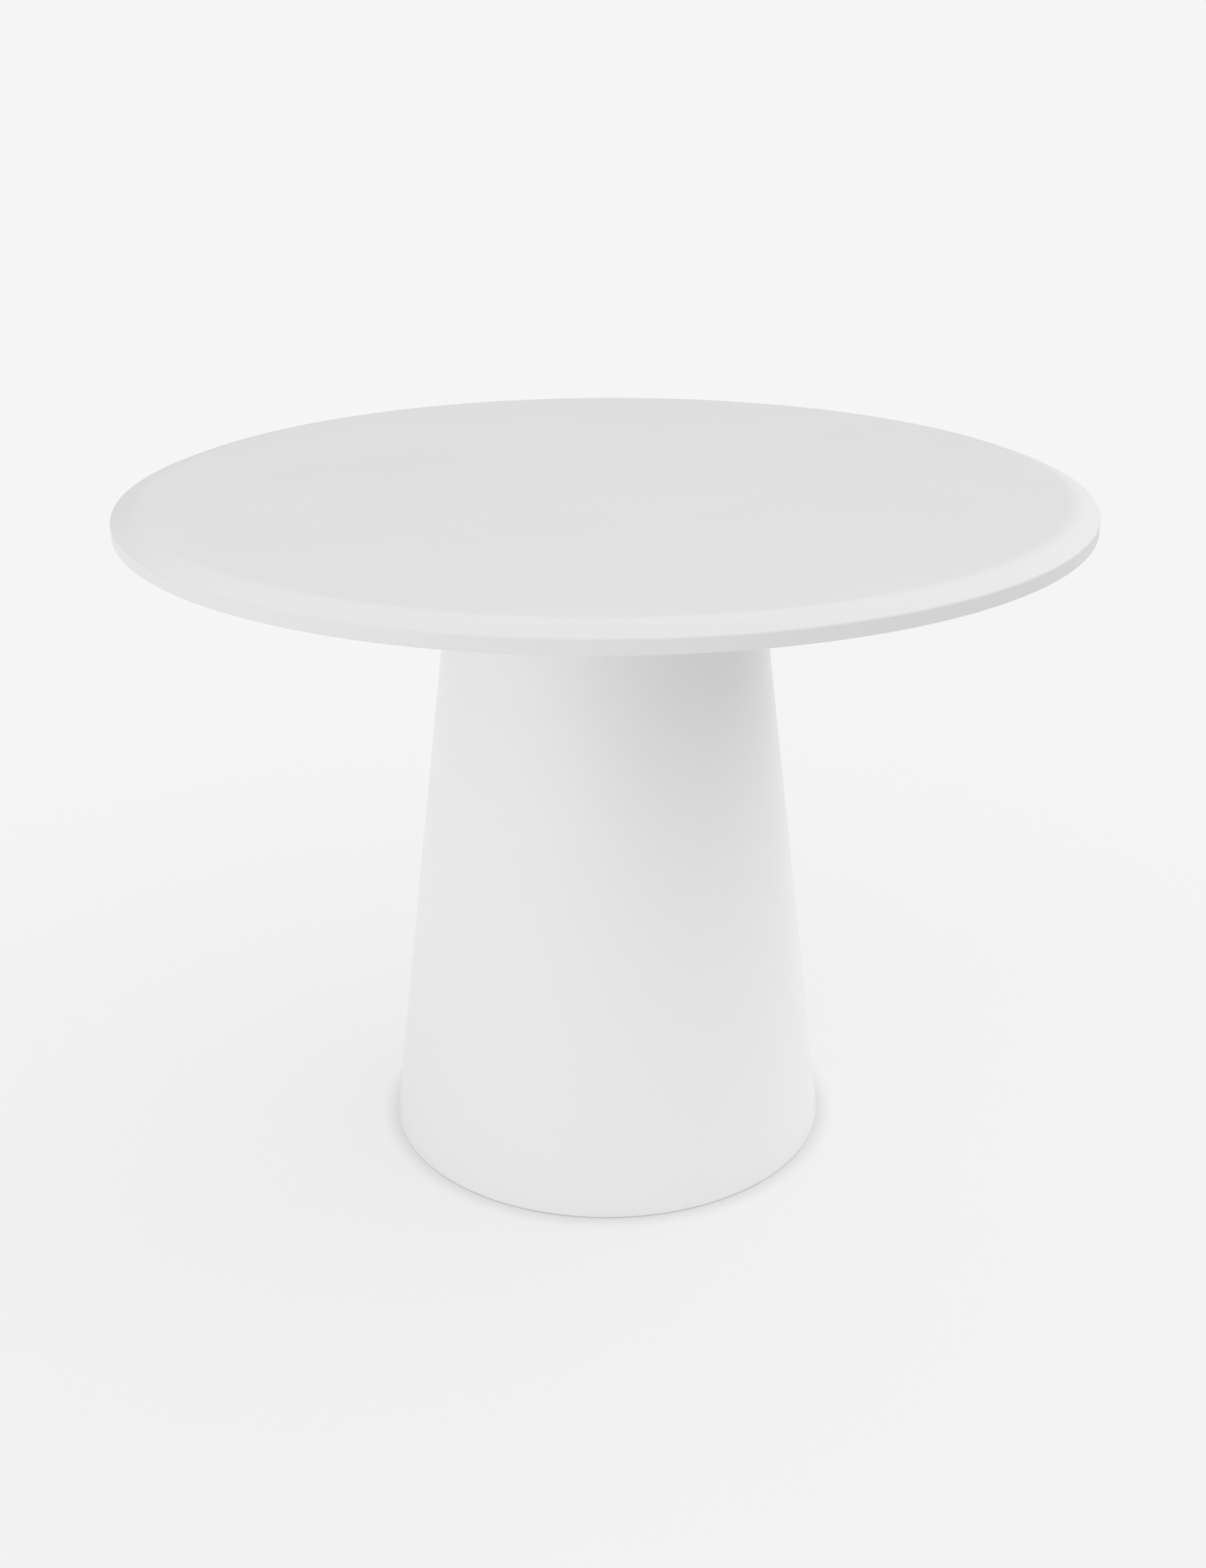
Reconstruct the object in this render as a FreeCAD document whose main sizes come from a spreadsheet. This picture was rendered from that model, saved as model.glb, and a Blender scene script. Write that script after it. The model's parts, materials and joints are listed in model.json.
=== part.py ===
import FreeCAD, Part
import math
import os
import Sketcher

# A round pedestal table: a lacquered panel top on a hollow cone.
#
# The cone is a moulded shell that hides the frame: a steel column between a mounting plate
# under the top and a weighted base plate, drawn together by one tie rod whose nut is tightened
# from below.  The flange bonded into the shell's upper end is clamped between the mounting plate
# and the top, and a ring on the base plate keeps its lower end centred.  The table stands on
# four levelling glides.
#
# Lengths are in millimetres.  +Z is up, the origin is on the floor under the middle of the top,
# and -Y is the front.

DRIVING_SIZES = (
    ("table_height", 745, "floor to the flat middle of the top"),
    ("top_radius", 508, "middle to the outer edge of the top"),
    ("top_thickness", 23.5, "thickness of the panel in its middle"),
    ("rim_bevel_width", 24, "width of the shallow bevel round the upper face"),
    ("rim_bevel_drop", 9, "how far that bevel falls at the edge"),
    ("rim_blend_radius", 30, "radius between the flat of the upper face and the bevel"),
    ("rim_upper_rounding", 2.5, "radius between the bevel and the edge"),
    ("rim_lower_rounding", 1.5, "radius between the edge and the underside"),
    ("shell_top_radius", 159, "outside of the cone, under the top"),
    ("shell_bottom_radius", 248.5, "outside of the cone, at the floor"),
    ("shell_wall", 4, "thickness of the cone, measured level"),
    ("shell_floor_gap", 0.6, "floor to the lower edge of the cone"),
    ("shell_foot_rounding", 1.5, "radius of the cone's lower edge"),
    ("flange_inner_radius", 126, "hole in the cone's upper flange"),
    ("flange_thickness", 5, "thickness of the cone's upper flange"),
    ("gasket_thickness", 1.5, "gasket between the cone and the top"),
    ("gasket_inset", 3, "edge of the gasket inside the edge of the flange"),
    ("mounting_plate_radius", 148, "outside of the steel plate under the top"),
    ("mounting_plate_thickness", 6, "thickness of that plate"),
    ("top_screw_circle", 138, "middle of the table to the screws of the top"),
    ("top_screw_count", 8, "screws that hold the top"),
    ("top_screw_radius", 4, "shank of an M8 screw"),
    ("top_screw_hole_radius", 4.5, "clearance hole for an M8 screw"),
    ("top_screw_head_radius", 6.5, "head of an M8 socket screw"),
    ("top_screw_head_height", 8, "height of that head"),
    ("top_screw_length", 25, "shank under the head"),
    ("top_screw_socket_width", 6, "hexagon socket, across its flats"),
    ("top_screw_socket_depth", 4, "depth of the socket"),
    ("top_washer_radius", 8, "outside of an M8 washer"),
    ("top_washer_thickness", 1.6, "thickness of an M8 washer"),
    ("insert_hole_radius", 6.3, "blind hole in the top for a threaded insert"),
    ("insert_hole_depth", 14, "depth of that hole"),
    ("insert_radius", 6.25, "outside of a threaded insert"),
    ("insert_length", 12.8, "length of a threaded insert"),
    ("thread_clearance", 0.05, "between a shank and the part it screws into"),
    ("column_radius", 38, "outside of the column tube"),
    ("column_wall", 3, "wall of the column tube"),
    ("collar_radius", 34.8, "outside of the collars that centre the column"),
    ("collar_hole_radius", 27, "hole in those collars"),
    ("collar_height", 12, "height of those collars"),
    ("rod_radius", 8, "M16 tie rod"),
    ("rod_hole_radius", 8.6, "clearance hole for the tie rod"),
    ("rod_floor_gap", 4, "floor to the lower end of the tie rod"),
    ("rod_nut_width", 24, "M16 nuts, across their flats"),
    ("rod_nut_height", 8, "lower, thin M16 nut"),
    ("weld_nut_height", 13, "upper, full M16 nut"),
    ("rod_washer_radius", 17, "outside of the M16 washer"),
    ("rod_washer_thickness", 3, "thickness of the M16 washer"),
    ("base_plate_radius", 232, "outside of the base plate"),
    ("base_plate_thickness", 10, "thickness of the base plate"),
    ("base_plate_floor_gap", 18, "floor to the base plate"),
    ("centring_ring_lip", 8, "how far the ring grips over the base plate"),
    ("centring_ring_wall", 3, "ring above and below the base plate"),
    ("centring_ring_gap", 1, "ring to the inside of the cone"),
    ("ballast_inner_radius", 60, "inside of the ballast blocks"),
    ("ballast_outer_radius", 180, "outside of the ballast blocks"),
    ("ballast_height", 30, "height of the ballast blocks"),
    ("ballast_angle", 87, "how far round each block reaches, in degrees"),
    ("ballast_bolt_circle", 120, "middle of the table to the ballast bolts"),
    ("ballast_bolt_radius", 5, "shank of an M10 bolt"),
    ("ballast_bolt_hole_radius", 5.5, "clearance hole for an M10 bolt"),
    ("ballast_bolt_head_width", 16, "head of an M10 bolt, across its flats"),
    ("ballast_bolt_head_height", 6.4, "height of that head"),
    ("glide_circle", 208, "middle of the table to the glides"),
    ("glide_count", 4, "levelling glides, and blocks of ballast"),
    ("glide_pad_radius", 20, "pad of a glide"),
    ("glide_pad_height", 7, "height of that pad"),
    ("glide_pad_floor", 3, "thickness of the pad under the stem's foot"),
    ("glide_pad_bevel", 1.2, "bevel round the pad"),
    ("glide_foot_radius", 8, "foot of the stem, held in the pad"),
    ("glide_hexagon_width", 16, "hexagon that turns the stem, across its flats"),
    ("glide_hexagon_height", 4, "height of that hexagon"),
    ("glide_stem_radius", 5, "M10 stem"),
    ("glide_stem_length", 40, "stem above the hexagon"),
    ("glide_nut_height", 5, "thin M10 lock nut"),
    ("glide_nut_width", 17, "lock nut, across its flats"),
    ("glide_gap", 0.2, "between the hexagon, the lock nut and the bush"),
    ("glide_bush_radius", 9, "threaded bush in the base plate"),
    ("glide_bush_flange_radius", 13, "flange of that bush"),
    ("glide_bush_flange_height", 3, "height of that flange"),
)

QUARTER_TURN = 90
HALF_QUARTER = 45
SAME_PLACE = 1e-4

doc = FreeCAD.newDocument("round_pedestal_table")
sizes = doc.addObject("Spreadsheet::Sheet", "sizes")
for row, (alias, amount, meaning) in enumerate(DRIVING_SIZES, start=1):
    sizes.set(f"A{row}", meaning)
    sizes.set(f"B{row}", str(amount))
    sizes.setAlias(f"B{row}", alias)
doc.recompute()

# Levels and radii that follow from the driving sizes, as expressions.

TOP_UNDERSIDE = "(sizes.table_height - sizes.top_thickness)"
SHELL_TOP = f"({TOP_UNDERSIDE} - sizes.gasket_thickness)"
FLANGE_UNDERSIDE = f"({SHELL_TOP} - sizes.flange_thickness)"
PLATE_UNDERSIDE = f"({FLANGE_UNDERSIDE} - sizes.mounting_plate_thickness)"
SHELL_SLOPE = (
    "((sizes.shell_bottom_radius - sizes.shell_top_radius)"
    f" / ({SHELL_TOP} - sizes.shell_floor_gap))"
)
SHELL_TOP_BORE = "(sizes.shell_top_radius - sizes.shell_wall)"
SCREW_HEAD_TOP = f"({PLATE_UNDERSIDE} - sizes.top_washer_thickness)"
BASE_TOP = "(sizes.base_plate_floor_gap + sizes.base_plate_thickness)"
BALLAST_TOP = f"({BASE_TOP} + sizes.ballast_height)"
ROD_WASHER_UNDERSIDE = "(sizes.base_plate_floor_gap - sizes.rod_washer_thickness)"
HEXAGON_TOP = "(sizes.glide_pad_height + sizes.glide_hexagon_height)"
LOCK_NUT_UNDERSIDE = f"({HEXAGON_TOP} + sizes.glide_gap)"
BUSH_UNDERSIDE = f"({LOCK_NUT_UNDERSIDE} + sizes.glide_nut_height + sizes.glide_gap)"
ON_AXIS = "0"

# The origin of a sketch, as Sketcher numbers it, a line's start and end, and a circle's centre.

SKETCH_ORIGIN = (-1, 1)
START, END, CENTRE = 1, 2, 3


def number(expression):
    """The value of an expression, from the sheet."""
    return float(doc.sizes.evalExpression(expression))


def new_body(label, turn=0):
    """A body of its own for one sub-part, turned about the table's axis by the given degrees."""
    body = doc.addObject("PartDesign::Body", label)
    body.Label = label
    body.AllowCompound = True
    body.Placement = FreeCAD.Placement(FreeCAD.Vector(), FreeCAD.Rotation(turn, 0, 0))
    return body


def origin_feature(body, role):
    """One of the body's own origin planes or axes."""
    return next(item for item in body.Origin.OriginFeatures if item.Role == role)


def new_sketch(body, name, plane, offset_axis, offset):
    """A sketch on one of the body's origin planes, moved along the sketch's own axis."""
    sketch = body.newObject("Sketcher::SketchObject", name)
    sketch.AttachmentSupport = [(origin_feature(body, plane), "")]
    sketch.MapMode = "FlatFace"
    sketch.setExpression(f"AttachmentOffset.Base.{offset_axis}", offset)
    doc.recompute()
    return sketch


def bind_point(sketch, geometry, vertex, across, up):
    """Hold a vertex at distances from the sketch's origin that follow the sheet."""
    for kind, expression in (("DistanceX", across), ("DistanceY", up)):
        held = Sketcher.Constraint(kind, *SKETCH_ORIGIN, geometry, vertex, number(expression))
        place = sketch.addConstraint(held)
        sketch.setExpression(f"Constraints[{place}]", expression)


def draw_outline(sketch, corners):
    """A closed outline of straight lines through corners (across, up)."""
    points = [FreeCAD.Vector(number(across), number(up), 0) for across, up in corners]
    for start, end in zip(points, points[1:] + points[:1]):
        sketch.addGeometry(Part.LineSegment(start, end))
    for place, (across, up) in enumerate(corners):
        before = (place - 1) % len(corners)
        sketch.addConstraint(Sketcher.Constraint("Coincident", before, END, place, START))
        bind_point(sketch, place, START, across, up)


def draw_circle(sketch, across, radius):
    """A circle whose centre is on the sketch's first axis."""
    centre = FreeCAD.Vector(number(across), 0, 0)
    circle = Part.Circle(centre, FreeCAD.Vector(0, 0, 1), number(radius))
    place = sketch.addGeometry(circle)
    bind_point(sketch, place, CENTRE, across, ON_AXIS)
    held = sketch.addConstraint(Sketcher.Constraint("Radius", place, number(radius)))
    sketch.setExpression(f"Constraints[{held}]", radius)


def hexagon_corners(across, width):
    """Corners of a hexagon of the given width across its flats."""
    corner_radius = f"{width} / sqrt(3)"
    return [
        (f"{across} + {corner_radius} * cos({angle} deg)", f"{corner_radius} * sin({angle} deg)")
        for angle in range(0, 360, 60)
    ]


def turn_outline(body, name, corners, across=ON_AXIS):
    """Turn an outline of (radius, height) corners about an upright line that far across."""
    sketch = new_sketch(body, f"{name}_outline", "XZ_Plane", "x", across)
    draw_outline(sketch, corners)
    turned = body.newObject("PartDesign::Revolution", name)
    turned.Profile = sketch
    turned.ReferenceAxis = (sketch, ["V_Axis"])
    turned.Angle = 360
    doc.recompute()
    return turned


def turn_tube(body, name, inner, outer, low, high, across=ON_AXIS):
    """A plain tube or ring between two radii and two heights."""
    corners = [(inner, low), (outer, low), (outer, high), (inner, high)]
    return turn_outline(body, name, corners, across)


def raise_hexagon(body, name, width, low, height, across=ON_AXIS, bore=None):
    """A hexagonal prism standing at a height, with a round bore if it is a nut."""
    sketch = new_sketch(body, f"{name}_outline", "XY_Plane", "z", low)
    draw_outline(sketch, hexagon_corners(across, width))
    if bore is not None:
        draw_circle(sketch, across, bore)
    raised = body.newObject("PartDesign::Pad", name)
    raised.Profile = sketch
    raised.setExpression("Length", height)
    doc.recompute()
    return raised


def cut_down(body, name, draw, top, depth):
    """Cut a drawn shape down from a height, and make sure that it took material away."""
    sketch = new_sketch(body, f"{name}_outline", "XY_Plane", "z", top)
    draw(sketch)
    volume_before = body.Shape.Volume
    cut = body.newObject("PartDesign::Pocket", name)
    cut.Profile = sketch
    cut.setExpression("Length", depth)
    doc.recompute()
    if body.Shape.Volume >= volume_before:
        raise RuntimeError(f"{name} in {body.Label} takes nothing away")
    return cut


def drill(body, name, across, radius, top, depth):
    """A round hole that far across, from its upper end down."""
    return cut_down(body, name, lambda sketch: draw_circle(sketch, across, radius), top, depth)


def repeat_round(body, name, features, count):
    """Repeat features evenly about the table's axis."""
    pattern = body.newObject("PartDesign::PolarPattern", name)
    pattern.Originals = features
    pattern.Axis = (origin_feature(body, "Z_Axis"), [""])
    pattern.Angle = 360
    pattern.setExpression("Occurrences", count)
    body.Tip = pattern
    doc.recompute()
    return pattern


def round_edges(body, name, feature, places, radius):
    """Round the circular edges at the given (radius, height) places."""
    wanted = [(number(edge_radius), number(height)) for edge_radius, height in places]
    edges = []
    for place, edge in enumerate(feature.Shape.Edges, start=1):
        if edge.Curve.TypeId != "Part::GeomCircle":
            continue
        found = (edge.Curve.Radius, edge.Curve.Center.z)
        if any(math.dist(found, one) < SAME_PLACE for one in wanted):
            edges.append(f"Edge{place}")
    if len(edges) != len(places):
        raise RuntimeError(f"{name} in {body.Label} finds {len(edges)} edges")
    rounding = body.newObject("PartDesign::Fillet", name)
    rounding.Base = (feature, edges)
    rounding.setExpression("Radius", radius)
    doc.recompute()
    return rounding


def make_tabletop_panel():
    """The panel: flat in the middle, with a shallow bevel falling to a crisp edge."""
    body = new_body("tabletop_panel", HALF_QUARTER / 2)
    bevel_start = ("sizes.top_radius - sizes.rim_bevel_width", "sizes.table_height")
    bevel_end = ("sizes.top_radius", "sizes.table_height - sizes.rim_bevel_drop")
    lower_edge = ("sizes.top_radius", TOP_UNDERSIDE)
    disc = turn_outline(body, "disc", [
        (ON_AXIS, TOP_UNDERSIDE),
        lower_edge,
        bevel_end,
        bevel_start,
        (ON_AXIS, "sizes.table_height"),
    ])
    lower = round_edges(body, "lower_rounding", disc, [lower_edge], "sizes.rim_lower_rounding")
    upper = round_edges(body, "upper_rounding", lower, [bevel_end], "sizes.rim_upper_rounding")
    round_edges(body, "bevel_blend", upper, [bevel_start], "sizes.rim_blend_radius")
    hole = drill(
        body, "insert_hole", "sizes.top_screw_circle", "sizes.insert_hole_radius",
        f"{TOP_UNDERSIDE} + sizes.insert_hole_depth", "sizes.insert_hole_depth",
    )
    repeat_round(body, "insert_holes", [hole], "sizes.top_screw_count")


def make_top_threaded_inserts():
    """Brass sleeves, threaded inside, in the panel's blind holes."""
    body = new_body("top_threaded_inserts", HALF_QUARTER / 2)
    insert = turn_tube(
        body, "insert",
        "sizes.top_screw_radius + sizes.thread_clearance", "sizes.insert_radius",
        TOP_UNDERSIDE, f"{TOP_UNDERSIDE} + sizes.insert_length",
        "sizes.top_screw_circle",
    )
    repeat_round(body, "inserts", [insert], "sizes.top_screw_count")


def make_shell_gasket():
    """A flat rubber ring between the cone's flange and the panel."""
    body = new_body("shell_gasket", HALF_QUARTER / 2)
    turn_tube(
        body, "ring",
        "sizes.flange_inner_radius + sizes.gasket_inset",
        "sizes.shell_top_radius - sizes.gasket_inset",
        SHELL_TOP, TOP_UNDERSIDE,
    )
    hole = drill(
        body, "screw_hole", "sizes.top_screw_circle", "sizes.top_screw_hole_radius",
        TOP_UNDERSIDE, "sizes.gasket_thickness",
    )
    repeat_round(body, "screw_holes", [hole], "sizes.top_screw_count")


def make_pedestal_shell():
    """The hollow cone, open at both ends."""
    body = new_body("pedestal_shell")
    outer_foot = ("sizes.shell_bottom_radius", "sizes.shell_floor_gap")
    inner_foot = ("sizes.shell_bottom_radius - sizes.shell_wall", "sizes.shell_floor_gap")
    cone = turn_outline(body, "cone", [
        inner_foot,
        outer_foot,
        ("sizes.shell_top_radius", SHELL_TOP),
        (SHELL_TOP_BORE, SHELL_TOP),
    ])
    feet = [outer_foot, inner_foot]
    round_edges(body, "foot_rounding", cone, feet, "sizes.shell_foot_rounding")


def make_shell_flange():
    """The flat ring bonded into the cone's upper end, which the top's screws pass through."""
    body = new_body("shell_flange", HALF_QUARTER / 2)
    turn_outline(body, "ring", [
        ("sizes.flange_inner_radius", FLANGE_UNDERSIDE),
        (f"{SHELL_TOP_BORE} + {SHELL_SLOPE} * sizes.flange_thickness", FLANGE_UNDERSIDE),
        (SHELL_TOP_BORE, SHELL_TOP),
        ("sizes.flange_inner_radius", SHELL_TOP),
    ])
    hole = drill(
        body, "screw_hole", "sizes.top_screw_circle", "sizes.top_screw_hole_radius",
        SHELL_TOP, "sizes.flange_thickness",
    )
    repeat_round(body, "screw_holes", [hole], "sizes.top_screw_count")


def make_mounting_plate():
    """The steel disc that the top, the cone's flange and the column are fixed to."""
    body = new_body("mounting_plate", HALF_QUARTER / 2)
    turn_tube(
        body, "disc", "sizes.rod_hole_radius", "sizes.mounting_plate_radius",
        PLATE_UNDERSIDE, FLANGE_UNDERSIDE,
    )
    hole = drill(
        body, "screw_hole", "sizes.top_screw_circle", "sizes.top_screw_hole_radius",
        FLANGE_UNDERSIDE, "sizes.mounting_plate_thickness",
    )
    repeat_round(body, "screw_holes", [hole], "sizes.top_screw_count")


def make_top_screws():
    """Socket screws, heads down, through the plate, flange and gasket into the inserts."""
    body = new_body("top_screws", HALF_QUARTER / 2)
    head_underside = f"({SCREW_HEAD_TOP} - sizes.top_screw_head_height)"
    screw = turn_outline(body, "screw", [
        (ON_AXIS, head_underside),
        ("sizes.top_screw_head_radius", head_underside),
        ("sizes.top_screw_head_radius", SCREW_HEAD_TOP),
        ("sizes.top_screw_radius", SCREW_HEAD_TOP),
        ("sizes.top_screw_radius", f"{SCREW_HEAD_TOP} + sizes.top_screw_length"),
        (ON_AXIS, f"{SCREW_HEAD_TOP} + sizes.top_screw_length"),
    ], "sizes.top_screw_circle")
    socket = cut_down(
        body, "socket",
        lambda sketch: draw_outline(
            sketch, hexagon_corners("sizes.top_screw_circle", "sizes.top_screw_socket_width")
        ),
        f"{head_underside} + sizes.top_screw_socket_depth", "sizes.top_screw_socket_depth",
    )
    repeat_round(body, "screws", [screw, socket], "sizes.top_screw_count")


def make_top_washers():
    """A flat washer under each screw head."""
    body = new_body("top_washers", HALF_QUARTER / 2)
    washer = turn_tube(
        body, "washer", "sizes.top_screw_hole_radius", "sizes.top_washer_radius",
        SCREW_HEAD_TOP, PLATE_UNDERSIDE, "sizes.top_screw_circle",
    )
    repeat_round(body, "washers", [washer], "sizes.top_screw_count")


def make_column():
    """The tube between the plates, and the welded collars that centre its ends."""
    turn_tube(
        new_body("column_tube"), "tube",
        "sizes.column_radius - sizes.column_wall", "sizes.column_radius",
        BASE_TOP, PLATE_UNDERSIDE,
    )
    turn_tube(
        new_body("upper_column_collar"), "collar",
        "sizes.collar_hole_radius", "sizes.collar_radius",
        f"{PLATE_UNDERSIDE} - sizes.collar_height", PLATE_UNDERSIDE,
    )
    turn_tube(
        new_body("lower_column_collar"), "collar",
        "sizes.collar_hole_radius", "sizes.collar_radius",
        BASE_TOP, f"{BASE_TOP} + sizes.collar_height",
    )


def make_tie_rod():
    """The rod that draws base, column and mounting plate together, with its nuts and washer."""
    turn_outline(new_body("tie_rod"), "rod", [
        (ON_AXIS, "sizes.rod_floor_gap"),
        ("sizes.rod_radius", "sizes.rod_floor_gap"),
        ("sizes.rod_radius", FLANGE_UNDERSIDE),
        (ON_AXIS, FLANGE_UNDERSIDE),
    ])
    bore = "sizes.rod_radius + sizes.thread_clearance"
    raise_hexagon(
        new_body("tie_rod_weld_nut"), "nut", "sizes.rod_nut_width",
        f"{PLATE_UNDERSIDE} - sizes.weld_nut_height", "sizes.weld_nut_height", bore=bore,
    )
    raise_hexagon(
        new_body("tie_rod_nut"), "nut", "sizes.rod_nut_width",
        f"{ROD_WASHER_UNDERSIDE} - sizes.rod_nut_height", "sizes.rod_nut_height", bore=bore,
    )
    turn_tube(
        new_body("tie_rod_washer"), "washer", "sizes.rod_hole_radius", "sizes.rod_washer_radius",
        ROD_WASHER_UNDERSIDE, "sizes.base_plate_floor_gap",
    )


def make_base_plate():
    """The steel disc that carries the column, the ballast and the glides."""
    body = new_body("base_plate", HALF_QUARTER)
    turn_tube(
        body, "disc", "sizes.rod_hole_radius", "sizes.base_plate_radius",
        "sizes.base_plate_floor_gap", BASE_TOP,
    )
    glide_hole = drill(
        body, "glide_hole", "sizes.glide_circle",
        "sizes.glide_bush_radius + sizes.thread_clearance",
        BASE_TOP, "sizes.base_plate_thickness",
    )
    repeat_round(body, "glide_holes", [glide_hole], "sizes.glide_count")
    bolt_hole = drill(
        body, "bolt_hole", "sizes.ballast_bolt_circle",
        "sizes.ballast_bolt_radius + sizes.thread_clearance",
        BASE_TOP, "sizes.base_plate_thickness",
    )
    repeat_round(body, "bolt_holes", [bolt_hole], "sizes.glide_count")


def make_centring_ring():
    """A plastic ring gripping the base plate's edge, which keeps the cone's foot centred."""
    ring_low = "(sizes.base_plate_floor_gap - sizes.centring_ring_wall)"
    ring_high = f"({BASE_TOP} + sizes.centring_ring_wall)"
    inside_of_shell = (
        "(sizes.shell_bottom_radius - sizes.shell_wall"
        f" - {SHELL_SLOPE} * ({ring_high} - sizes.shell_floor_gap))"
    )
    lip = "sizes.base_plate_radius - sizes.centring_ring_lip"
    outside = f"{inside_of_shell} - sizes.centring_ring_gap"
    turn_outline(new_body("centring_ring"), "ring", [
        (lip, ring_low),
        (outside, ring_low),
        (outside, ring_high),
        (lip, ring_high),
        (lip, BASE_TOP),
        ("sizes.base_plate_radius", BASE_TOP),
        ("sizes.base_plate_radius", "sizes.base_plate_floor_gap"),
        (lip, "sizes.base_plate_floor_gap"),
    ])


def make_ballast():
    """Cast blocks round the column, each bolted to the base plate."""
    body = new_body("ballast_blocks", HALF_QUARTER)
    sketch = new_sketch(body, "block_outline", "XZ_Plane", "x", ON_AXIS)
    draw_outline(sketch, [
        ("sizes.ballast_inner_radius", BASE_TOP),
        ("sizes.ballast_outer_radius", BASE_TOP),
        ("sizes.ballast_outer_radius", BALLAST_TOP),
        ("sizes.ballast_inner_radius", BALLAST_TOP),
    ])
    block = body.newObject("PartDesign::Revolution", "block")
    block.Profile = sketch
    block.ReferenceAxis = (sketch, ["V_Axis"])
    block.Midplane = True
    block.setExpression("Angle", "sizes.ballast_angle")
    doc.recompute()
    hole = drill(
        body, "bolt_hole", "sizes.ballast_bolt_circle", "sizes.ballast_bolt_hole_radius",
        BALLAST_TOP, "sizes.ballast_height",
    )
    repeat_round(body, "blocks", [block, hole], "sizes.glide_count")

    body = new_body("ballast_bolts", HALF_QUARTER)
    shank = turn_tube(
        body, "shank", ON_AXIS, "sizes.ballast_bolt_radius",
        "sizes.base_plate_floor_gap", BALLAST_TOP, "sizes.ballast_bolt_circle",
    )
    head = raise_hexagon(
        body, "head", "sizes.ballast_bolt_head_width",
        BALLAST_TOP, "sizes.ballast_bolt_head_height", "sizes.ballast_bolt_circle",
    )
    repeat_round(body, "bolts", [shank, head], "sizes.glide_count")


def make_glide_fittings():
    """The bushes that the glides screw into, and their lock nuts."""
    bore = "sizes.glide_stem_radius + sizes.thread_clearance"
    flange_top = f"({BASE_TOP} + sizes.glide_bush_flange_height)"
    body = new_body("glide_bushes", HALF_QUARTER)
    bush = turn_outline(body, "bush", [
        (bore, BUSH_UNDERSIDE),
        ("sizes.glide_bush_radius", BUSH_UNDERSIDE),
        ("sizes.glide_bush_radius", BASE_TOP),
        ("sizes.glide_bush_flange_radius", BASE_TOP),
        ("sizes.glide_bush_flange_radius", flange_top),
        (bore, flange_top),
    ], "sizes.glide_circle")
    repeat_round(body, "bushes", [bush], "sizes.glide_count")

    body = new_body("glide_lock_nuts", HALF_QUARTER)
    nut = raise_hexagon(
        body, "nut", "sizes.glide_nut_width", LOCK_NUT_UNDERSIDE, "sizes.glide_nut_height",
        "sizes.glide_circle", bore,
    )
    repeat_round(body, "nuts", [nut], "sizes.glide_count")


def make_glide(corner, turn):
    """One levelling glide: a threaded stem with a hexagon, and the pad under it."""
    body = new_body(f"glide_stem_{corner}", turn)
    turn_outline(body, "stem", [
        (ON_AXIS, "sizes.glide_pad_floor"),
        ("sizes.glide_foot_radius", "sizes.glide_pad_floor"),
        ("sizes.glide_foot_radius", "sizes.glide_pad_height"),
        ("sizes.glide_stem_radius", "sizes.glide_pad_height"),
        ("sizes.glide_stem_radius", f"{HEXAGON_TOP} + sizes.glide_stem_length"),
        (ON_AXIS, f"{HEXAGON_TOP} + sizes.glide_stem_length"),
    ], "sizes.glide_circle")
    raise_hexagon(
        body, "hexagon", "sizes.glide_hexagon_width", "sizes.glide_pad_height",
        "sizes.glide_hexagon_height", "sizes.glide_circle",
    )

    socket = "sizes.glide_foot_radius + sizes.thread_clearance"
    edge = "sizes.glide_pad_radius - sizes.glide_pad_bevel"
    turn_outline(new_body(f"glide_pad_{corner}", turn), "pad", [
        (ON_AXIS, "0"),
        (edge, "0"),
        ("sizes.glide_pad_radius", "sizes.glide_pad_bevel"),
        ("sizes.glide_pad_radius", "sizes.glide_pad_height - sizes.glide_pad_bevel"),
        (edge, "sizes.glide_pad_height"),
        (socket, "sizes.glide_pad_height"),
        (socket, "sizes.glide_pad_floor"),
        (ON_AXIS, "sizes.glide_pad_floor"),
    ], "sizes.glide_circle")


def check_document():
    """Stop if any object failed or any sub-part has no valid shape."""
    for item in doc.Objects:
        if {"Invalid", "Error"} & set(item.State):
            raise RuntimeError(f"{item.Label} is {item.State}")
    for body in doc.findObjects("PartDesign::Body"):
        if body.Shape.isNull() or not body.Shape.isValid():
            raise RuntimeError(f"{body.Label} has no valid shape")


def write_parts():
    """Write each sub-part to its own file, and say how many solids it holds."""
    os.makedirs("parts", exist_ok=True)
    for body in doc.findObjects("PartDesign::Body"):
        body.Shape.exportStep(f"parts/{body.Label}.step")
        print(f"{body.Label}: {len(body.Shape.Solids)} solids, {body.Shape.Volume:.0f} mm3")


make_tabletop_panel()
make_top_threaded_inserts()
make_shell_gasket()
make_pedestal_shell()
make_shell_flange()
make_mounting_plate()
make_top_screws()
make_top_washers()
make_column()
make_tie_rod()
make_base_plate()
make_centring_ring()
make_ballast()
make_glide_fittings()
for quarter, corner_name in enumerate(("back_right", "back_left", "front_left", "front_right")):
    make_glide(corner_name, HALF_QUARTER + quarter * QUARTER_TURN)
doc.recompute()
check_document()
write_parts()
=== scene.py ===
import json
import math

import bpy
from mathutils import Matrix, Vector


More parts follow.
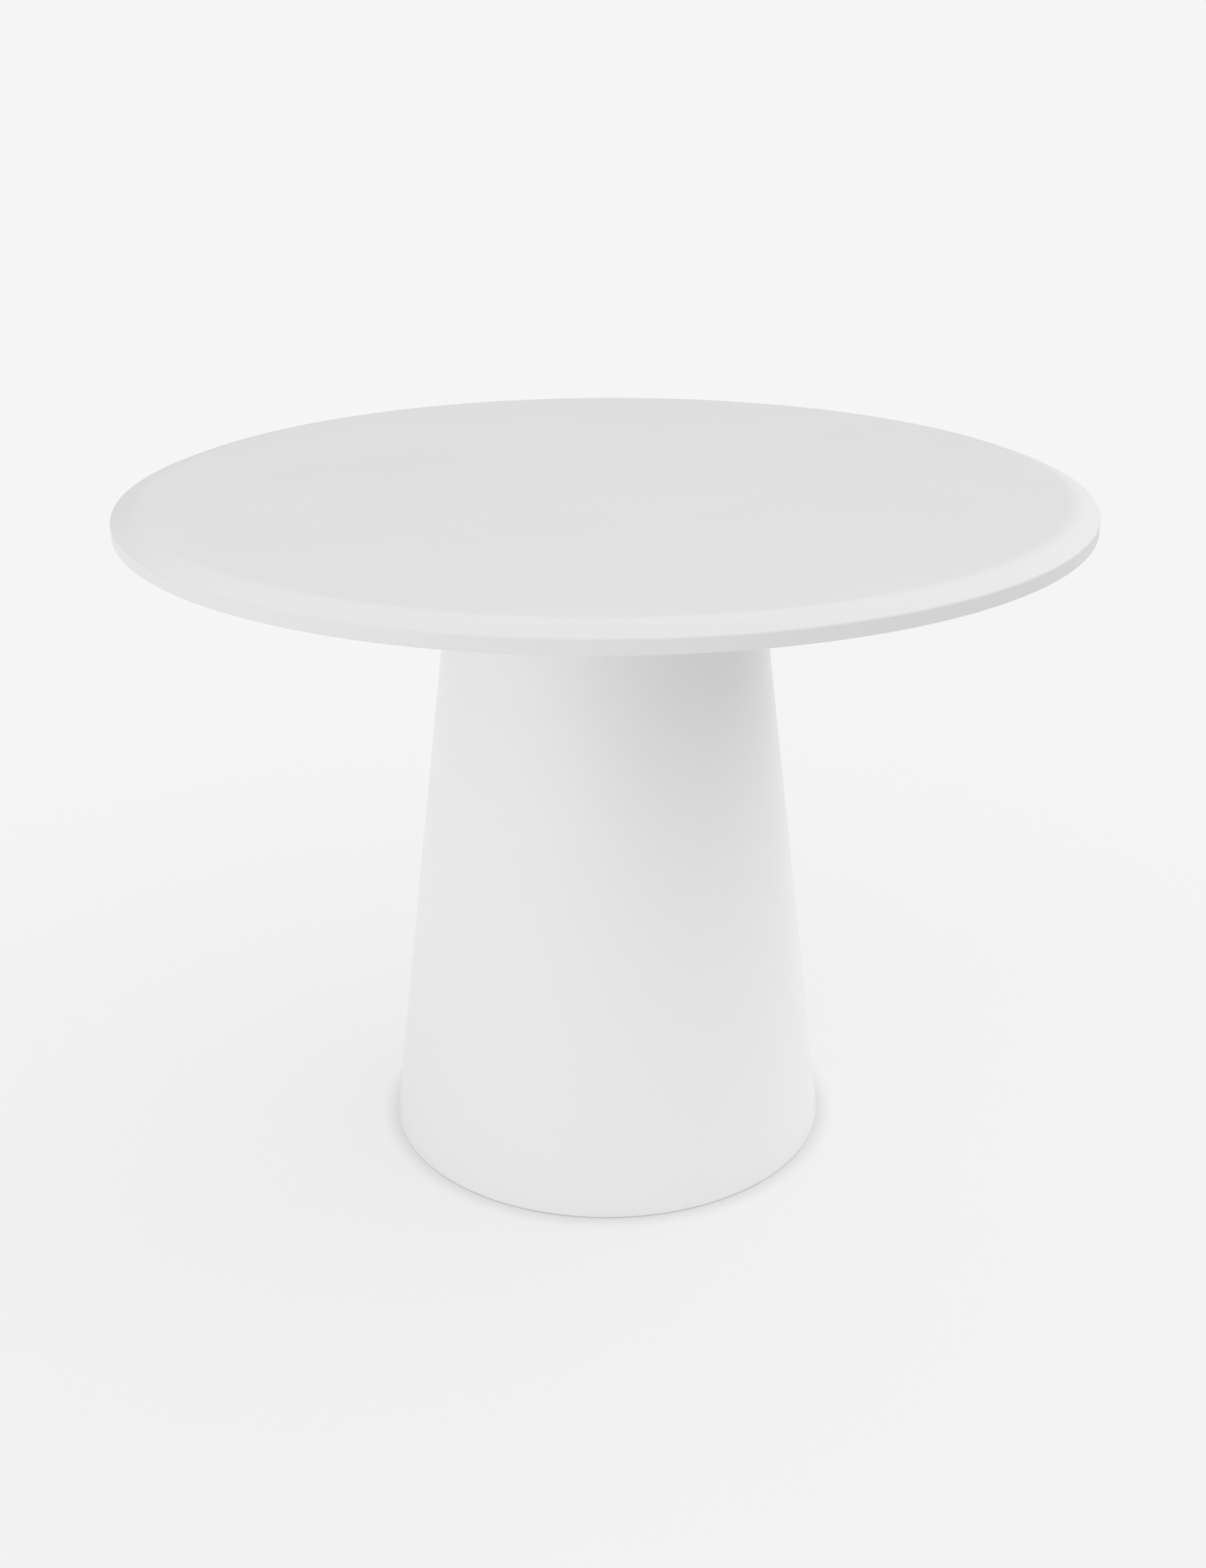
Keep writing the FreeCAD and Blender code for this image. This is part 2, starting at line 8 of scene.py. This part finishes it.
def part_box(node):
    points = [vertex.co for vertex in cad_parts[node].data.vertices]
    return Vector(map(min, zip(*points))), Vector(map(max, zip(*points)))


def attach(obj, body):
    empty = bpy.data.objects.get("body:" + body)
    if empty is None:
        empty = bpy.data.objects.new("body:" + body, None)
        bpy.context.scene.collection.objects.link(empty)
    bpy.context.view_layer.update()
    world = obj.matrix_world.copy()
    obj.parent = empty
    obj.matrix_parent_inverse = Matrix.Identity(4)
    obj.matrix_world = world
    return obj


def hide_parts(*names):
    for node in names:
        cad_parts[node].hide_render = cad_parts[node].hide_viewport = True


# The looks of a round pedestal table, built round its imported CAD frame.  Lengths are in metres.
# Each shape that shows is turned or raised again here with fine facets, and stands for its CAD
# node.  The plain hidden pieces keep their CAD meshes and get a detailed material.

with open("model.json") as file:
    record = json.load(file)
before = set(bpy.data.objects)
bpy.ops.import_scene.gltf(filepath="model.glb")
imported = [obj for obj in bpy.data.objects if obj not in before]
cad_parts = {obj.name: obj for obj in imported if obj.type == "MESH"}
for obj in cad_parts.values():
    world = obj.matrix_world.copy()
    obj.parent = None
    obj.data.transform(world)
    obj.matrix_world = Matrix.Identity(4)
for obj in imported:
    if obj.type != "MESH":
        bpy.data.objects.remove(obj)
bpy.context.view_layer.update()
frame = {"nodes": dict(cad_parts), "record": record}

MM = 0.001
FULL_TURN = 2 * math.pi
FINE_SEGMENTS = 384
SMALL_SEGMENTS = 72
ROWS_PER_PITCH = 6
SHARP_ANGLE = 40
HEXAGON_EDGE_SHARE = 0.04
THREAD_DEPTH_SHARE = 0.55
THREAD_CREST_SLOPE = 1.15
THREAD_END_TAPER = 0.8
CORNERS = ("back_right", "back_left", "front_left", "front_right")


# --- Outlines and meshes -------------------------------------------------------------------


def rounded(corners, steps=6):
    """Points along an outline of (radius, height, rounding) corners, each rounded as it says."""
    points = []
    for place, (across, up, rounding) in enumerate(corners):
        here = Vector((across, up))
        if not rounding:
            points.append(here)
            continue
        before = Vector(corners[place - 1][:2]) - here
        after = Vector(corners[(place + 1) % len(corners)][:2]) - here
        half_angle = before.angle(after) / 2
        middle = here + (before.normalized() + after.normalized()).normalized() * (
            rounding / math.sin(half_angle)
        )
        reach = rounding / math.tan(half_angle)
        start = here + before.normalized() * reach - middle
        end = here + after.normalized() * reach - middle
        sweep = start.angle_signed(end)
        for step in range(steps + 1):
            turn = Matrix.Rotation(-sweep * step / steps, 2)
            points.append(middle + turn @ start)
    return points


def link_mesh(name, *parts):
    """A smooth-shaded object of (vertices, faces) parts, with its sharper edges kept crisp."""
    vertices, faces = [], []
    for part_vertices, part_faces in parts:
        first = len(vertices)
        vertices.extend(part_vertices)
        faces.extend(tuple(first + corner for corner in face) for face in part_faces)
    mesh = bpy.data.meshes.new(name)
    mesh.from_pydata(vertices, [], faces)
    mesh.validate()
    mesh.shade_smooth()
    mesh.set_sharp_from_angle(angle=math.radians(SHARP_ANGLE))
    piece = bpy.data.objects.new(name, mesh)
    bpy.context.scene.collection.objects.link(piece)
    flat_faces = piece.modifiers.new("flat_faces", "WEIGHTED_NORMAL")
    flat_faces.keep_sharp = True
    return piece


def turned(outline_at, segments, centre=(0, 0), closed=True):
    """Vertices and faces of an anticlockwise outline of (radius, height) points, turned about an
    upright line.  The outline may change with the angle, so it is given as a function of it."""
    angles = [FULL_TURN * segment / segments for segment in range(segments)]
    outlines = [outline_at(angle) for angle in angles]
    vertices = []
    rings = []
    for level in range(len(outlines[0])):
        if outlines[0][level][0] == 0:
            rings.append([len(vertices)] * segments)
            vertices.append((centre[0], centre[1], outlines[0][level][1]))
            continue
        rings.append(list(range(len(vertices), len(vertices) + segments)))
        for angle, outline in zip(angles, outlines):
            across, up = outline[level]
            vertices.append((
                centre[0] + across * math.cos(angle), centre[1] + across * math.sin(angle), up
            ))
    faces = []
    following_rings = rings[1:] + (rings[:1] if closed else [])
    for lower, upper in zip(rings, following_rings):
        for segment in range(segments):
            following = (segment + 1) % segments
            corners = (lower[segment], lower[following], upper[following], upper[segment])
            face = tuple(dict.fromkeys(corners))
            if len(face) > 2:
                faces.append(face)
    return vertices, faces


def lathe(corners, segments, centre=(0, 0)):
    """A turned part of (radius, height, rounding) corners."""
    outline = rounded(corners)
    return turned(lambda angle: outline, segments, centre)


def hexagon(across_flats, hole, low, high, centre=(0, 0)):
    """A chamfered hexagon of a nut, with a hole or, if hole is 0, solid."""
    flat = across_flats / 2
    edge = HEXAGON_EDGE_SHARE * across_flats

    def outline_at(angle):
        from_flat = (angle + FULL_TURN / 12) % (FULL_TURN / 6) - FULL_TURN / 12
        reach = flat / math.cos(from_flat)
        chamfer = edge + (reach - flat) * math.tan(FULL_TURN / 12)
        return [
            (hole, low), (flat - edge, low), (reach, low + chamfer),
            (reach, high - chamfer), (flat - edge, high), (hole, high),
        ]

    return turned(outline_at, SMALL_SEGMENTS, centre, closed=hole > 0)


def thread(radius, pitch, low, high, centre=(0, 0)):
    """A rod with a right-hand thread, tapered at both ends."""
    depth = THREAD_DEPTH_SHARE * pitch
    rows = round((high - low) / pitch * ROWS_PER_PITCH)

    def outline_at(angle):
        outline = [(0, low)]
        for row in range(rows + 1):
            up = low + (high - low) * row / rows
            phase = (up / pitch - angle / FULL_TURN) % 1
            to_end = min(up - low, high - up)
            crest = radius - depth * min(1, abs(2 * phase - 1) * THREAD_CREST_SLOPE)
            taper = radius - depth + to_end * THREAD_END_TAPER
            outline.append((min(crest, taper), up))
        return outline + [(0, high)]

    return turned(outline_at, SMALL_SEGMENTS // 2, centre, closed=False)


# --- Materials -----------------------------------------------------------------------------


class Surface:
    """A procedural material whose colour, roughness and bump vary over the object."""

    def __init__(self, name, colour, roughness, metallic=0.0, coat=0.0, coat_roughness=0.1):
        self.material = bpy.data.materials.new(name)
        self.material.use_nodes = True
        self.nodes = self.material.node_tree.nodes
        self.links = self.material.node_tree.links
        self.shader = self.nodes["Principled BSDF"]
        self.shader.inputs["Metallic"].default_value = metallic
        self.shader.inputs["Coat Weight"].default_value = coat
        self.shader.inputs["Coat Roughness"].default_value = coat_roughness
        self.place = self.nodes.new("ShaderNodeTexCoord").outputs["Object"]
        self.colour = colour
        self.roughness = roughness
        self.normal = None

    def noise(self, size, detail=3.0, stretch=(1, 1, 1)):
        """Noise whose features are about size metres, from 0 to 1."""
        mapping = self.nodes.new("ShaderNodeMapping")
        mapping.inputs["Scale"].default_value = [factor / size for factor in stretch]
        self.links.new(self.place, mapping.inputs["Vector"])
        texture = self.nodes.new("ShaderNodeTexNoise")
        texture.inputs["Scale"].default_value = 1.0
        texture.inputs["Detail"].default_value = detail
        self.links.new(mapping.outputs["Vector"], texture.inputs["Vector"])
        return texture.outputs["Fac"]

    def spread(self, value, low, high):
        """Map a noise's middle range to low and high."""
        ranged = self.nodes.new("ShaderNodeMapRange")
        ranged.inputs["From Min"].default_value = 0.3
        ranged.inputs["From Max"].default_value = 0.7
        ranged.inputs["To Min"].default_value = low
        ranged.inputs["To Max"].default_value = high
        self.links.new(value, ranged.inputs["Value"])
        return ranged.outputs["Result"]

    def tint(self, value, darkest):
        """Vary the colour between darkest times itself and itself."""
        mix = self.nodes.new("ShaderNodeMix")
        mix.data_type = "RGBA"
        mix.inputs["A"].default_value = (*[part * darkest for part in self.colour], 1)
        mix.inputs["B"].default_value = (*self.colour, 1)
        self.links.new(self.spread(value, 0, 1), mix.inputs["Factor"])
        self.links.new(mix.outputs["Result"], self.shader.inputs["Base Color"])

    def vary_roughness(self, value, by):
        """Vary the roughness by the given amount about its middle."""
        spread = self.spread(value, self.roughness - by, self.roughness + by)
        self.links.new(spread, self.shader.inputs["Roughness"])

    def bump(self, value, depth):
        """Raise the surface by depth metres where the value is high."""
        bump = self.nodes.new("ShaderNodeBump")
        bump.inputs["Strength"].default_value = 1.0
        bump.inputs["Distance"].default_value = depth
        self.links.new(value, bump.inputs["Height"])
        if self.normal is not None:
            self.links.new(self.normal, bump.inputs["Normal"])
        self.normal = bump.outputs["Normal"]
        self.links.new(self.normal, self.shader.inputs["Normal"])


def make_lacquer(name, colour, roughness, coat):
    """Sprayed satin lacquer: faint orange peel, with or without a soft clear coat."""
    surface = Surface(name, colour, roughness, coat=coat, coat_roughness=0.18)
    surface.shader.inputs["IOR"].default_value = 1.42
    surface.tint(surface.noise(size=0.25, detail=1.0), darkest=0.993)
    surface.vary_roughness(surface.noise(size=0.15, detail=1.0), by=0.015)
    surface.bump(surface.noise(size=0.004, detail=1.0), depth=0.000002)
    return surface.material


def make_metal(name, colour, roughness, grain):
    """Bare or plated metal with fine turning marks and small blotches."""
    surface = Surface(name, colour, roughness, metallic=1.0)
    surface.tint(surface.noise(size=0.012), darkest=0.86)
    surface.vary_roughness(surface.noise(size=0.004), by=0.07)
    surface.bump(surface.noise(size=grain, stretch=(1, 1, 6)), depth=0.00001)
    return surface.material


def make_moulded(name, colour, roughness, texture_size, texture_depth):
    """Moulded plastic, rubber or powder coat with a fine pebbled texture."""
    surface = Surface(name, colour, roughness)
    surface.tint(surface.noise(size=0.03), darkest=0.82)
    surface.vary_roughness(surface.noise(size=0.01), by=0.06)
    surface.bump(surface.noise(size=texture_size), depth=texture_depth)
    return surface.material


def make_cast_iron(name, colour):
    """Painted sand casting: coarse skin over fine grit."""
    surface = Surface(name, colour, roughness=0.62, metallic=0.3)
    surface.tint(surface.noise(size=0.02), darkest=0.6)
    surface.vary_roughness(surface.noise(size=0.006), by=0.1)
    surface.bump(surface.noise(size=0.009), depth=0.0003)
    surface.bump(surface.noise(size=0.0015), depth=0.0001)
    return surface.material


MATERIALS = {
    "white_lacquer_top": make_lacquer(
        "white_lacquer_top", (0.785, 0.785, 0.785), roughness=0.36, coat=0.0
    ),
    "white_lacquer_shell": make_lacquer(
        "white_lacquer_shell", (0.885, 0.885, 0.885), roughness=0.31, coat=0.35
    ),
    "black_rubber": make_moulded(
        "black_rubber", (0.035, 0.035, 0.035), roughness=0.7,
        texture_size=0.0012, texture_depth=0.00003,
    ),
    "brass": make_metal("brass", (0.71, 0.53, 0.25), roughness=0.32, grain=0.002),
    "black_coated_steel": make_moulded(
        "black_coated_steel", (0.04, 0.04, 0.042), roughness=0.5,
        texture_size=0.0008, texture_depth=0.00004,
    ),
    "grey_plastic": make_moulded(
        "grey_plastic", (0.3, 0.3, 0.31), roughness=0.5,
        texture_size=0.0007, texture_depth=0.00002,
    ),
    "grey_nylon": make_moulded(
        "grey_nylon", (0.2, 0.2, 0.21), roughness=0.45,
        texture_size=0.0006, texture_depth=0.00001,
    ),
    "cast_iron": make_cast_iron("cast_iron", (0.09, 0.09, 0.095)),
    "zinc_plated_steel": make_metal(
        "zinc_plated_steel", (0.66, 0.67, 0.69), roughness=0.3, grain=0.0015
    ),
}


def finish_piece(piece, body, slot, *nodes):
    """Give a new piece its material, body and slot, and let it stand for its CAD nodes."""
    piece.data.materials.append(MATERIALS[slot])
    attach(piece, body)
    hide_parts(*nodes)


# --- The top and the cone ------------------------------------------------------------------


def make_tabletop():
    """The panel: flat in the middle, a shallow bevel, a crisp edge and an eased underside."""
    bevel_width, bevel_drop = 24 * MM, 9 * MM
    bevel_blend, edge_rounding, underside_rounding = 55 * MM, 2.5 * MM, 1.5 * MM
    low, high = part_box("tabletop_panel")
    radius = (high.x - low.x) / 2
    flat_rings = [radius * share for share in (0.85, 0.6, 0.3)]
    outline = rounded([
        (0, low.z, 0),
        (radius * 0.5, low.z, 0),
        (radius, low.z, underside_rounding),
        (radius, high.z - bevel_drop, edge_rounding),
        (radius - bevel_width, high.z, bevel_blend),
        *[(across, high.z, 0) for across in flat_rings],
        (0, high.z, 0),
    ], steps=10)
    panel = link_mesh("tabletop", turned(lambda angle: outline, FINE_SEGMENTS))
    finish_piece(panel, "table", "white_lacquer_top", "tabletop_panel")


def make_cone():
    """The hollow shell, open at both ends, with its rounded foot."""
    low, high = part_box("pedestal_shell")
    foot_radius = (high.x - low.x) / 2
    top_radius, wall = 159 * MM, 4 * MM
    foot_rounding, top_outer_rounding, top_inner_rounding = 1.5 * MM, 1 * MM, 0.5 * MM
    shell = lathe([
        (foot_radius - wall, low.z, foot_rounding),
        (foot_radius, low.z, foot_rounding),
        (top_radius, high.z, top_outer_rounding),
        (top_radius - wall, high.z, top_inner_rounding),
    ], FINE_SEGMENTS)
    cone = link_mesh("pedestal_cone", shell)
    finish_piece(cone, "table", "white_lacquer_shell", "pedestal_shell")


# --- The glides and the tie rod's end --------------------------------------------------------


def middle_of(node):
    """The x and y of a node's middle."""
    low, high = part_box(node)
    return ((low.x + high.x) / 2, (low.y + high.y) / 2)


def make_glide(corner):
    """A moulded pad, and a threaded stem with a hexagon and a foot that sits in the pad."""
    pad_low, pad_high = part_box(f"glide_pad_{corner}")
    stem_low, stem_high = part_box(f"glide_stem_{corner}")
    centre = middle_of(f"glide_pad_{corner}")
    pad_radius = (pad_high.x - pad_low.x) / 2
    foot_radius, stem_radius = 8 * MM, 5 * MM
    hexagon_flats, hexagon_height = 16 * MM, 4 * MM
    thread_pitch = 1.5 * MM
    hollow_top = pad_low.z + 0.8 * MM
    pad = lathe([
        (0, hollow_top, 0),
        (pad_radius * 0.45, hollow_top, 0.3 * MM),
        (pad_radius * 0.5, pad_low.z, 0.3 * MM),
        (pad_radius, pad_low.z, 0.8 * MM),
        (pad_radius, pad_low.z + 3.2 * MM, 1 * MM),
        (pad_radius * 0.62, pad_high.z - 0.8 * MM, 1.2 * MM),
        (pad_radius * 0.55, pad_high.z, 0.4 * MM),
        (foot_radius, pad_high.z, 0.2 * MM),
        (foot_radius, stem_low.z, 0),
        (0, stem_low.z, 0),
    ], SMALL_SEGMENTS, centre)
    finish_piece(
        link_mesh(f"pad_{corner}", pad), f"glide_{corner}", "grey_nylon", f"glide_pad_{corner}"
    )
    foot = lathe([
        (0, stem_low.z, 0),
        (foot_radius, stem_low.z, 0.4 * MM),
        (foot_radius, pad_high.z, 0.2 * MM),
        (0, pad_high.z, 0),
    ], SMALL_SEGMENTS, centre)
    hexagon_top = pad_high.z + hexagon_height
    grip = hexagon(hexagon_flats, 0, pad_high.z, hexagon_top, centre)
    rod = thread(stem_radius, thread_pitch, hexagon_top, stem_high.z, centre)
    finish_piece(
        link_mesh(f"stem_{corner}", foot, grip, rod), f"glide_{corner}", "zinc_plated_steel",
        f"glide_stem_{corner}",
    )


def make_lock_nuts():
    """A nut under each glide's bush."""
    low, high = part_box("glide_lock_nuts")
    across_flats, hole_radius = 17 * MM, 5.05 * MM
    nuts = [
        hexagon(across_flats, hole_radius, low.z, high.z, middle_of(f"glide_pad_{corner}"))
        for corner in CORNERS
    ]
    finish_piece(
        link_mesh("lock_nuts", *nuts), "table", "zinc_plated_steel", "glide_lock_nuts"
    )


def make_tie_rod():
    """The rod, threaded at both ends, with the washer and thin nut that tighten it below."""
    low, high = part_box("tie_rod")
    radius, pitch = 8 * MM, 2 * MM
    shank_radius = radius * 0.96
    lower_thread, upper_thread = low.z + 34 * MM, high.z - 44 * MM
    shank = lathe([
        (0, lower_thread, 0),
        (shank_radius, lower_thread, 0.3 * MM),
        (shank_radius, upper_thread, 0.3 * MM),
        (0, upper_thread, 0),
    ], SMALL_SEGMENTS)
    rod = link_mesh(
        "tie_rod_threaded",
        thread(radius, pitch, low.z, lower_thread), shank,
        thread(radius, pitch, upper_thread, high.z),
    )
    finish_piece(rod, "table", "zinc_plated_steel", "tie_rod")
    nut_low, nut_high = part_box("tie_rod_nut")
    nut_flats, nut_hole = 24 * MM, 8.05 * MM
    nut = link_mesh("tie_rod_thin_nut", hexagon(nut_flats, nut_hole, nut_low.z, nut_high.z))
    finish_piece(nut, "table", "zinc_plated_steel", "tie_rod_nut")
    washer_low, washer_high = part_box("tie_rod_washer")
    washer_radius, washer_hole = (washer_high.x - washer_low.x) / 2, 8.5 * MM
    washer = link_mesh("tie_rod_flat_washer", lathe([
        (washer_hole, washer_low.z, 0.3 * MM),
        (washer_radius, washer_low.z, 0.6 * MM),
        (washer_radius, washer_high.z, 0.3 * MM),
        (washer_hole, washer_high.z, 0.2 * MM),
    ], SMALL_SEGMENTS))
    finish_piece(washer, "table", "zinc_plated_steel", "tie_rod_washer")


make_tabletop()
make_cone()
for corner_name in CORNERS:
    make_glide(corner_name)
make_lock_nuts()
make_tie_rod()


# --- Materials of the CAD nodes that stay --------------------------------------------------

for subpart in frame["record"]["subparts"]:
    node = frame["nodes"][subpart["node"]]
    node.data.materials.clear()
    node.data.materials.append(MATERIALS[subpart["material_slot"]])


# --- Stage, light and camera ---------------------------------------------------------------

# The near floor is a rectangle of x and y, and the far one is a square that lies higher.
NEAR_FLOOR = ((-60, -20), (60, -20), (60, 100), (-60, 100))
FAR_FLOOR = ((-1000, -1000), (1000, -1000), (1000, 1000), (-1000, 1000))
FAR_FLOOR_RISE = 12
FLOOR_GLOW = 0.49
FLOOR_ALBEDO = 0.42
# The contact shadow is painted: ambient occlusion dims the floor's glow near the table's foot.
CONTACT_SHADOW = 0.022
CONTACT_DEPTH = 0.6

# Azimuths are in degrees, anticlockwise from +X.  A rise is where a change starts and ends.
# DIM_ paints shade onto the floor's glow and colour far out towards the front right.
DIM_AZIMUTH = -38
DIM_RISE = (1.4, 3.5)
DIM_SHARE = 0.33
# BRIGHT_ paints a pool of light, an extra glow, onto the floor far out towards the front left.
BRIGHT_AZIMUTH = 222
BRIGHT_RISE = (1.7, 3.5)
BRIGHT_GLOW = 0.5
WALL_START, WALL_END = 190, 260
SIDE_START, SIDE_END = 0, 70
WALL_FADE = 0.12
WALL_LIGHT = 1.25
SIDE_LIGHT = 1.2
ROOM_LIGHT = 0.38
SOFTBOX_LIGHT = 1.13
SOFTBOX_RISE = (0.30, 0.50)
RIGHT_BIAS = 0.3
CEILING_LIGHT = 0.92
CEILING_RISE = (0.80, 0.95)

CAMERA_LENS = 44.316
CAMERA_PLACE = (0, -2.0013, 1.2126)
CAMERA_PITCH = 21.986
CAMERA_YAW = -0.1
CAMERA_ROLL = -0.285


def math_node(nodes, links, operation, *values):
    """The output of a Math node whose inputs are numbers or other nodes' outputs."""
    node = nodes.new("ShaderNodeMath")
    node.operation = operation
    for socket, value in zip(node.inputs, values):
        if isinstance(value, (int, float)):
            socket.default_value = value
        else:
            links.new(value, socket)
    return node.outputs["Value"]


def step_node(nodes, links, value, start, end, low=0.0, high=1.0):
    """The output of a smooth step from low to high as the value goes from start to end."""
    step = nodes.new("ShaderNodeMapRange")
    step.interpolation_type = "SMOOTHSTEP"
    for socket, number in (
        ("From Min", start), ("From Max", end), ("To Min", low), ("To Max", high)
    ):
        step.inputs[socket].default_value = number
    links.new(value, step.inputs["Value"])
    return step.outputs["Result"]


def make_floor():
    """A wide pale floor that glows evenly round the table, with painted shade towards the front
    right, a painted pool of light far out at the front left and a painted contact shadow at the
    table's foot.  Far away it rises a little, so that it reaches just above the horizon."""
    near = [(x, y, 0) for x, y in NEAR_FLOOR]
    far = [(x, y, FAR_FLOOR_RISE) for x, y in FAR_FLOOR]
    slopes = [(side, side + 4, (side + 1) % 4 + 4, (side + 1) % 4) for side in range(4)]
    mesh = bpy.data.meshes.new("floor")
    mesh.from_pydata(near + far, [], [(0, 1, 2, 3), *slopes])
    floor = bpy.data.objects.new("floor", mesh)
    bpy.context.scene.collection.objects.link(floor)
    material = bpy.data.materials.new("floor")
    material.use_nodes = True
    nodes, links = material.node_tree.nodes, material.node_tree.links
    nodes.clear()
    place = nodes.new("ShaderNodeSeparateXYZ")
    links.new(nodes.new("ShaderNodeTexCoord").outputs["Object"], place.inputs["Vector"])

    def towards(azimuth, start, end, low, high):
        """Low up to start metres out in the direction of an azimuth, and high from end on."""
        angle = math.radians(azimuth)
        along = math_node(
            nodes, links, "ADD",
            math_node(nodes, links, "MULTIPLY", place.outputs["X"], math.cos(angle)),
            math_node(nodes, links, "MULTIPLY", place.outputs["Y"], math.sin(angle)),
        )
        return step_node(nodes, links, along, start, end, low, high)

    # Painted shade: the floor's glow and colour fall to DIM_SHARE far out towards the front
    # right.
    painted_floor_shade = towards(DIM_AZIMUTH, *DIM_RISE, 1.0, DIM_SHARE)
    # Painted light: the floor glows brighter far out towards the front left, and lights the table
    # from there.
    front_left = towards(BRIGHT_AZIMUTH, *BRIGHT_RISE, 0.0, BRIGHT_GLOW)
    # Painted contact shadow: the glow is dimmed by ambient occlusion within CONTACT_SHADOW of the
    # table.
    contact = nodes.new("ShaderNodeAmbientOcclusion")
    contact.inputs["Distance"].default_value = CONTACT_SHADOW
    contact_level = math_node(
        nodes, links, "MULTIPLY_ADD", contact.outputs["AO"], CONTACT_DEPTH, 1 - CONTACT_DEPTH
    )
    level = math_node(nodes, links, "MULTIPLY", painted_floor_shade, contact_level)
    glow = nodes.new("ShaderNodeEmission")
    glow.inputs["Color"].default_value = (1, 1, 1, 1)
    links.new(
        math_node(
            nodes, links, "ADD",
            math_node(nodes, links, "MULTIPLY", level, FLOOR_GLOW),
            front_left,
        ),
        glow.inputs["Strength"],
    )
    matte = nodes.new("ShaderNodeBsdfDiffuse")
    links.new(math_node(nodes, links, "MULTIPLY", painted_floor_shade, FLOOR_ALBEDO), matte.inputs["Color"])
    both = nodes.new("ShaderNodeAddShader")
    links.new(glow.outputs["Emission"], both.inputs[0])
    links.new(matte.outputs["BSDF"], both.inputs[1])
    clear = nodes.new("ShaderNodeBsdfTransparent")
    side = nodes.new("ShaderNodeNewGeometry")
    choose = nodes.new("ShaderNodeMixShader")
    links.new(side.outputs["Backfacing"], choose.inputs["Fac"])
    links.new(both.outputs["Shader"], choose.inputs[1])
    links.new(clear.outputs["BSDF"], choose.inputs[2])
    output = nodes.new("ShaderNodeOutputMaterial")
    links.new(choose.outputs["Shader"], output.inputs["Surface"])
    mesh.materials.append(material)


def make_world():
    """A studio: low down a bright wall at the front left, a pale one at the back right and a
    dim room elsewhere, with softboxes above."""
    world = bpy.data.worlds.new("studio")
    bpy.context.scene.world = world
    world.use_nodes = True
    nodes, links = world.node_tree.nodes, world.node_tree.links
    direction = nodes.new("ShaderNodeTexCoord").outputs["Generated"]

    def beyond(azimuth):
        """1 for directions turned more than this azimuth anticlockwise, 0 for less."""
        across = nodes.new("ShaderNodeVectorMath")
        across.operation = "DOT_PRODUCT"
        angle = math.radians(azimuth + 90)
        across.inputs[1].default_value = (math.cos(angle), math.sin(angle), 0)
        links.new(direction, across.inputs[0])
        return step_node(nodes, links, across.outputs["Value"], -WALL_FADE, WALL_FADE)

    height = nodes.new("ShaderNodeSeparateXYZ")
    links.new(direction, height.inputs["Vector"])
    wall = math_node(nodes, links, "MULTIPLY", beyond(WALL_START), beyond(WALL_END + 180))
    pale_side = math_node(nodes, links, "MULTIPLY", beyond(SIDE_START), beyond(SIDE_END + 180))
    room = step_node(nodes, links, pale_side, 0, 1, ROOM_LIGHT, SIDE_LIGHT)
    wall_glow = math_node(nodes, links, "MULTIPLY", wall, WALL_LIGHT - ROOM_LIGHT)
    low = math_node(nodes, links, "ADD", room, wall_glow)
    above_low = step_node(nodes, links, height.outputs["Z"], *SOFTBOX_RISE)
    softbox = math_node(
        nodes, links, "MULTIPLY",
        step_node(nodes, links, height.outputs["Z"], *CEILING_RISE, SOFTBOX_LIGHT, CEILING_LIGHT),
        math_node(nodes, links, "MULTIPLY_ADD", height.outputs["X"], RIGHT_BIAS, 1.0),
    )
    blend = nodes.new("ShaderNodeMix")
    blend.data_type = "FLOAT"
    links.new(above_low, blend.inputs["Factor"])
    links.new(low, blend.inputs["A"])
    links.new(softbox, blend.inputs["B"])
    background = nodes["Background"]
    background.inputs["Color"].default_value = (1, 1, 1, 1)
    links.new(blend.outputs["Result"], background.inputs["Strength"])


def make_camera():
    """A camera a little above the table, looking down at it from the front."""
    data = bpy.data.cameras.new("camera")
    data.lens = CAMERA_LENS
    camera = bpy.data.objects.new("camera", data)
    camera.location = CAMERA_PLACE
    aim = Matrix.Rotation(math.radians(-CAMERA_YAW), 4, "Z")
    tilt = Matrix.Rotation(math.radians(90 - CAMERA_PITCH), 4, "X")
    roll = Matrix.Rotation(math.radians(CAMERA_ROLL), 4, "Z")
    camera.rotation_euler = (aim @ tilt @ roll).to_euler()
    bpy.context.scene.collection.objects.link(camera)
    bpy.context.scene.camera = camera


make_floor()
make_world()
make_camera()
bpy.context.scene.view_settings.view_transform = "Standard"
